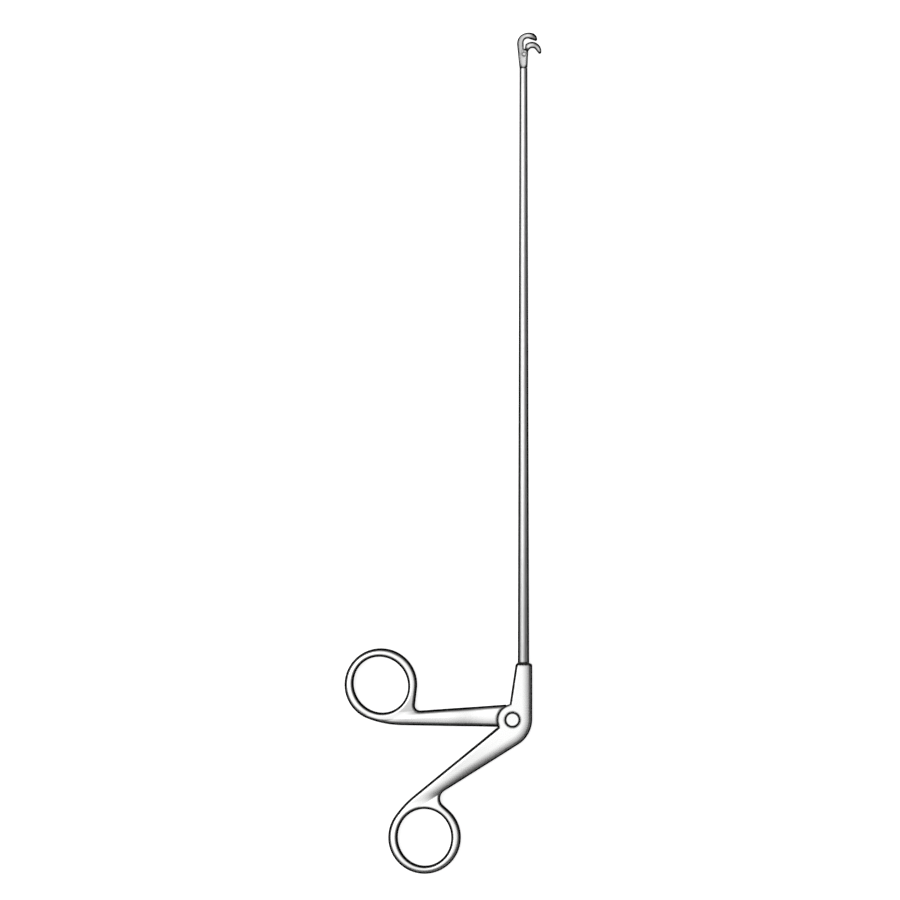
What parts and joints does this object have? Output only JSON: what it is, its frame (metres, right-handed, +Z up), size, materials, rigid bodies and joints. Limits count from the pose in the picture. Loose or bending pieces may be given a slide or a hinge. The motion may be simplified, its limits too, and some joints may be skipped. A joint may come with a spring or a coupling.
{
  "type": "laryngeal forceps",
  "caption": "Long-shafted laryngeal grasping forceps: thumb handle, finger lever, tapered shaft and a hooked moving jaw that closes on a fixed one.",
  "frame": {"origin": "on the finger lever's pivot axis, on the flat side of the housing that the instrument lies on (the side with the pivot screw)", "axes": "+Y along the shaft towards the jaws, +Z up out of the plane of the handles, +X towards the straight back of the housing, away from the finger rings"},
  "size_m": [0.0779, 0.333, 0.007],
  "materials": {
    "satin_steel": "satin stainless steel, finely brushed",
    "tube_steel": "satin stainless steel tube, brushed along its length",
    "jaw_steel": "fine satin stainless steel",
    "pin_steel": "turned stainless steel",
    "rod_steel": "drawn stainless steel",
    "solder": "polished silver solder",
    "bush_bronze": "plain turned bronze"
  },
  "bodies": {
    "handle": {"thumb_handle": "satin_steel", "pivot_barrel": "pin_steel", "pivot_screw": "pin_steel", "shaft_tube": "tube_steel", "shaft_solder_bead": "solder", "rear_guide_bush": "bush_bronze", "middle_guide_bush": "bush_bronze", "front_guide_bush": "bush_bronze", "fixed_jaw": "jaw_steel", "jaw_rivet": "pin_steel"},
    "lever": {"finger_lever": "satin_steel"},
    "rod": {"push_rod": "rod_steel", "rod_clevis": "rod_steel", "clevis_lock_nut": "rod_steel", "crank_pin": "pin_steel", "jaw_drive_pin": "pin_steel"},
    "jaw": {"moving_jaw": "jaw_steel"}
  },
  "joints": [
    {"name": "lever_hinge", "type": "hinge", "parent": "handle", "child": "lever", "pos_m": [0, 0, 0.0035], "axis": [0, 0, 1], "range_deg": [0, 16]},
    {"name": "rod_slide", "type": "slide", "parent": "handle", "child": "rod", "axis": [0, 1, 0], "range_m": [0, 0.00123]},
    {"name": "jaw_hinge", "type": "hinge", "parent": "handle", "child": "jaw", "pos_m": [0.0046, 0.26333, 0.0035], "axis": [0, 0, 1], "range_deg": [0, 10.5]}
  ],
  "couplings": [
    {"joint": "rod_slide", "follows": "lever_hinge", "m_per_rad": 0.0044057},
    {"joint": "jaw_hinge", "follows": "lever_hinge", "ratio": 0.65625}
  ]
}
